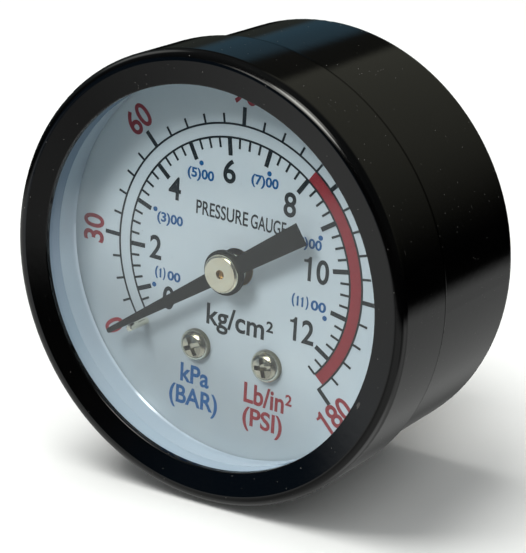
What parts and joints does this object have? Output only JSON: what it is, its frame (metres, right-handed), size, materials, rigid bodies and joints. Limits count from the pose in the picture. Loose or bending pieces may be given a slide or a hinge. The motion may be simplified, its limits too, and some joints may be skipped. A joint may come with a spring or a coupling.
{
  "type": "pressure gauge",
  "caption": "Round dial pressure gauge: black steel case and bezel, clear window, printed dial with three scales, black pointer, and a threaded brass stem at the centre of the back.",
  "frame": {"origin": "on the gauge axis at the sealing shoulder, where the stem's thread begins", "axes": "+Z towards 12 o'clock of the dial, +Y out of the back along the stem, +X towards 3 o'clock; the dial faces -Y"},
  "size_m": [0.0536, 0.0457, 0.0536],
  "materials": {
    "black_paint": "gloss black stove enamel over pressed steel",
    "window_clear": "clear moulded plastic, polished",
    "gasket_rubber": "matte black",
    "dial_white": "matte white coating printed in black, red and blue",
    "pointer_black": "matte black coating",
    "nickel": "bright nickel plate, slightly warm",
    "brass": "machined, satin",
    "brass_hex": "machined, satin, light tarnish in the thread",
    "tube_bronze": "drawn tube, satin",
    "steel_link": "bright strip",
    "spring_bronze": "rolled strip, bright"
  },
  "bodies": {
    "housing": {"case_shell": "black_paint", "bezel_ring": "black_paint", "window_lens": "window_clear", "window_gasket": "gasket_rubber", "dial_plate": "dial_white", "stop_pin": "nickel", "dial_screws": "nickel", "dial_standoffs": "brass", "socket": "brass_hex", "passage_plugs": "brass", "case_screws": "nickel", "bourdon_tube": "tube_bronze", "movement_back_plate": "brass", "movement_front_plate": "brass", "movement_pillars": "brass", "plate_screws": "nickel", "movement_screws": "nickel", "hairspring_stud": "brass"},
    "pointer": {"pinion_arbor": "brass", "hairspring_collet": "brass", "hairspring": "spring_bronze", "pointer_blade": "pointer_black", "pointer_hub": "nickel"},
    "sector": {"sector_gear": "brass", "sector_arbor": "steel_link", "link_screw": "nickel"},
    "tube_end": {"tube_end_cap": "brass", "tip_pin": "brass"},
    "link": {"link_arm": "steel_link"}
  },
  "joints": [
    {"name": "pointer_spin", "type": "hinge", "parent": "housing", "child": "pointer", "pos_m": [0, -0.0272, 0], "axis": [0, 1, 0], "range_deg": [0, 260], "deforming": ["hairspring"]},
    {"name": "sector_swing", "type": "hinge", "parent": "housing", "child": "sector", "pos_m": [0.00742, -0.0187, -0.00742], "axis": [0, 1, 0], "range_deg": [-43.34, 0]},
    {"name": "tube_flex", "type": "hinge", "parent": "housing", "child": "tube_end", "pos_m": [-0.00262, -0.01895, 0.00474], "axis": [0, 1, 0], "range_deg": [-4.72, 0], "deforming": ["bourdon_tube"]},
    {"name": "link_swing", "type": "hinge", "parent": "tube_end", "child": "link", "pos_m": [0.01254, -0.01765, -0.00471], "axis": [0, 1, 0], "range_deg": [-9.27, 0]}
  ],
  "couplings": [
    {"joint": "sector_swing", "follows": "pointer_spin", "ratio": -0.16667},
    {"joint": "tube_flex", "follows": "pointer_spin", "ratio": -0.018162},
    {"joint": "link_swing", "follows": "pointer_spin", "ratio": -0.035633}
  ]
}
